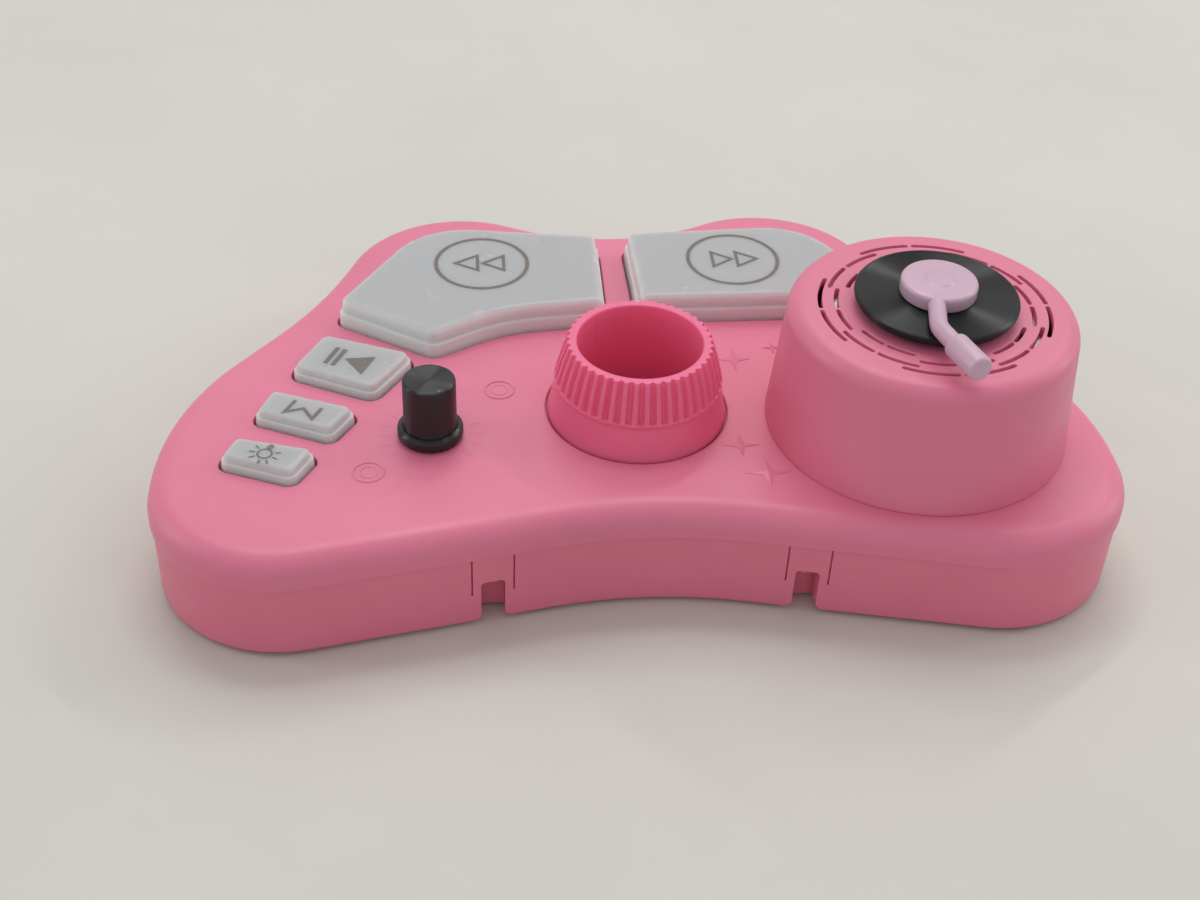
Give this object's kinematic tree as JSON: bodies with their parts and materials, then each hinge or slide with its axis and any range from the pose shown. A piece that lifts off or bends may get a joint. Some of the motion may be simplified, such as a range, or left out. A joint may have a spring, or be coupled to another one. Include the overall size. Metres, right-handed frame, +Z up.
{
  "type": "toy music console",
  "caption": "Electronic drum pad console: two lit pads, three buttons, a knob, a fluted socket ring and a round speaker turret with a turning record and tone arm.",
  "frame": {"origin": "middle of the footprint, on the table under the rubber feet", "axes": "+X to the right along the width, +Y to the back, +Z up out of the top face"},
  "size_m": [0.224, 0.1422, 0.0691],
  "materials": {
    "pink_top": "satin",
    "pink_base": "satin",
    "pad_white": "semi-gloss, translucent",
    "lilac": "semi-gloss",
    "black_gloss": "gloss",
    "black_matte": "matte",
    "foot_rubber": "matte",
    "steel": "satin",
    "board_green": "satin",
    "silicone": "matte",
    "lamp_clear": "clear",
    "magnet_grey": "matte",
    "cone_black": "paper",
    "cell_green": "satin",
    "lead_red": "satin"
  },
  "bodies": {
    "case": {"upper_shell": "pink_top", "speaker_turret": "pink_top", "lower_shell": "pink_base", "case_screws": "steel", "rubber_feet": "foot_rubber", "left_pad_domes": "silicone", "right_pad_domes": "silicone", "play_dome": "silicone", "mode_dome": "silicone", "light_dome": "silicone", "pad_board": "board_green", "button_board": "board_green", "board_screws": "steel", "pad_lamps": "lamp_clear", "sound_chip": "black_matte", "pot_body": "magnet_grey", "socket_cup": "pink_base", "speaker_basket": "steel", "speaker_magnet": "magnet_grey", "speaker_cone": "cone_black", "speaker_surround": "foot_rubber", "dust_cap": "cone_black", "speaker_screws": "steel", "speaker_lead": "lead_red", "battery_cells": "cell_green", "contact_springs": "steel", "contact_plates": "steel", "battery_lead": "lead_red", "switch_body": "black_matte"},
    "left_pad": {"left_pad": "pad_white"},
    "right_pad": {"right_pad": "pad_white"},
    "play_button": {"play_button": "pad_white"},
    "mode_button": {"mode_button": "pad_white"},
    "light_button": {"light_button": "pad_white"},
    "knob": {"knob_cap": "black_gloss", "pot_shaft": "steel"},
    "socket_ring": {"socket_ring": "pink_top", "ring_clip": "steel"},
    "record": {"record_disc": "black_gloss", "disc_clip": "steel"},
    "tonearm": {"tonearm": "lilac", "arm_screw": "steel"},
    "battery_door": {"battery_door": "pink_base", "battery_door_screw": "steel"},
    "switch_slider": {"switch_slider": "black_matte"}
  },
  "joints": [
    {"name": "left_pad_press", "type": "slide", "parent": "case", "child": "left_pad", "axis": [0, 0, -1], "range_m": [0, 0.0018], "stiffness_N_per_m": 700, "springref_m": -0.001, "deforming": ["left_pad_domes"]},
    {"name": "right_pad_press", "type": "slide", "parent": "case", "child": "right_pad", "axis": [0, 0, -1], "range_m": [0, 0.0018], "stiffness_N_per_m": 700, "springref_m": -0.001, "deforming": ["right_pad_domes"]},
    {"name": "play_press", "type": "slide", "parent": "case", "child": "play_button", "axis": [0, 0, -1], "range_m": [0, 0.0013], "stiffness_N_per_m": 500, "springref_m": -0.001, "deforming": ["play_dome"]},
    {"name": "mode_press", "type": "slide", "parent": "case", "child": "mode_button", "axis": [0, 0, -1], "range_m": [0, 0.0013], "stiffness_N_per_m": 500, "springref_m": -0.001, "deforming": ["mode_dome"]},
    {"name": "light_press", "type": "slide", "parent": "case", "child": "light_button", "axis": [0, 0, -1], "range_m": [0, 0.0013], "stiffness_N_per_m": 500, "springref_m": -0.001, "deforming": ["light_dome"]},
    {"name": "knob_turn", "type": "hinge", "parent": "case", "child": "knob", "pos_m": [-0.0488, -0.0278, 0.028], "axis": [0, 0, 1], "range_deg": [-150, 150]},
    {"name": "ring_turn", "type": "hinge", "parent": "case", "child": "socket_ring", "pos_m": [0, -0.0187, 0.028], "axis": [0, 0, 1], "continuous": true},
    {"name": "record_turn", "type": "hinge", "parent": "case", "child": "record", "pos_m": [0.0657, -0.026, 0.06], "axis": [0, 0, 1], "continuous": true},
    {"name": "tonearm_turn", "type": "hinge", "parent": "case", "child": "tonearm", "pos_m": [0.0657, -0.026, 0.064], "axis": [0, 0, 1], "continuous": true},
    {"name": "battery_door_hinge", "type": "hinge", "parent": "case", "child": "battery_door", "pos_m": [0, 0.0504, 0.0008], "axis": [1, 0, 0], "range_deg": [0, 70]},
    {"name": "power_slide", "type": "slide", "parent": "case", "child": "switch_slider", "axis": [1, 0, 0], "range_m": [0, 0.004]}
  ]
}
